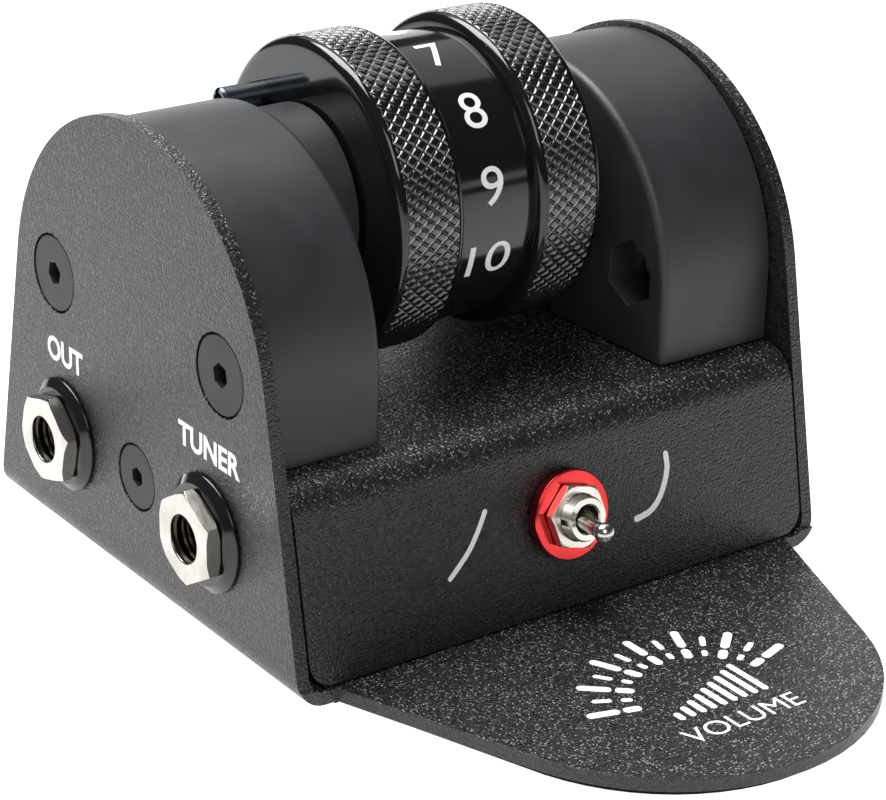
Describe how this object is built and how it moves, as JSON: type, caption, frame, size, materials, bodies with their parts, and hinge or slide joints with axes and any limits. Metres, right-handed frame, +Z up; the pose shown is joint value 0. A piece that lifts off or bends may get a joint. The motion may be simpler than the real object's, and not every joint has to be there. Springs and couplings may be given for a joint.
{
  "type": "volume pedal",
  "caption": "Foot-rolled volume pedal: a numbered knurled drum turns between two domed cheeks on a bent steel chassis with a round toe plate, side jacks and a front toggle switch.",
  "frame": {"origin": "on the floor, at the middle of the grip pad's underside, straight below the middle of the roller's axle", "axes": "+X runs along the roller's axle to the player's right, +Y points back towards the rear of the pedal so the toe plate reaches along -Y, +Z is up"},
  "size_m": [0.0962, 0.1267, 0.0757],
  "materials": {
    "powder_coated_steel": "fine wrinkle powder coat, black",
    "cheek_plastic": "matte, charcoal",
    "black_anodised": "bright dipped and anodised black",
    "black_screw": "black oxide",
    "nickel": "bright nickel plate",
    "steel": "zinc plated",
    "gloss_black": "gloss black",
    "red_anodised": "gloss red",
    "grip_pad": "black grip pad",
    "board_green": "solder mask",
    "ribbon_grey": "flat ribbon lead",
    "spring_bronze": "phosphor bronze"
  },
  "bodies": {
    "pedal": {"chassis": "powder_coated_steel", "base_pad": "grip_pad", "deck_cover": "powder_coated_steel", "left_cheek": "cheek_plastic", "right_cheek": "cheek_plastic", "left_bearing": "steel", "right_bearing": "steel", "travel_stop": "gloss_black", "travel_stop_screw": "steel", "pot_body": "steel", "pot_bushing": "nickel", "pot_nut": "nickel", "pot_ribbon": "ribbon_grey", "cheek_screw_left_front": "black_screw", "cheek_screw_left_rear": "black_screw", "cheek_screw_right_front": "black_screw", "cheek_screw_right_rear": "black_screw", "cheek_nut_left_front": "steel", "cheek_nut_left_rear": "steel", "cheek_nut_right_front": "steel", "cheek_nut_right_rear": "steel", "cover_screw_left": "black_screw", "cover_screw_right": "black_screw", "clinch_nut_left": "steel", "clinch_nut_right": "steel", "jack_out_body": "gloss_black", "jack_out_sleeve": "nickel", "jack_out_spring": "spring_bronze", "jack_out_ring": "gloss_black", "jack_out_nut": "nickel", "jack_tuner_body": "gloss_black", "jack_tuner_sleeve": "nickel", "jack_tuner_spring": "spring_bronze", "jack_tuner_ring": "gloss_black", "jack_tuner_nut": "nickel", "jack_in_body": "gloss_black", "jack_in_sleeve": "nickel", "jack_in_spring": "spring_bronze", "jack_in_ring": "gloss_black", "jack_in_nut": "nickel", "toggle_body": "red_anodised", "toggle_bushing": "nickel", "toggle_ring": "red_anodised", "toggle_nut": "nickel", "circuit_board": "board_green", "board_standoff_front": "nickel", "board_standoff_rear": "nickel"},
    "roller": {"roller_drum": "black_anodised", "axle": "steel", "stop_pin": "steel", "left_spacer": "nickel", "right_spacer": "nickel", "retaining_ring": "steel", "shaft_coupler": "nickel", "pot_shaft": "steel"},
    "lever": {"toggle_lever": "nickel"}
  },
  "joints": [
    {"name": "roller_turn", "type": "hinge", "parent": "pedal", "child": "roller", "pos_m": [0, 0, 0.0535], "axis": [1, 0, 0], "range_deg": [-107, 205]},
    {"name": "toggle_throw", "type": "hinge", "parent": "pedal", "child": "lever", "pos_m": [0, -0.03773, 0.01687], "axis": [0, 0.1972, 0.9804], "range_deg": [0, 25]}
  ]
}
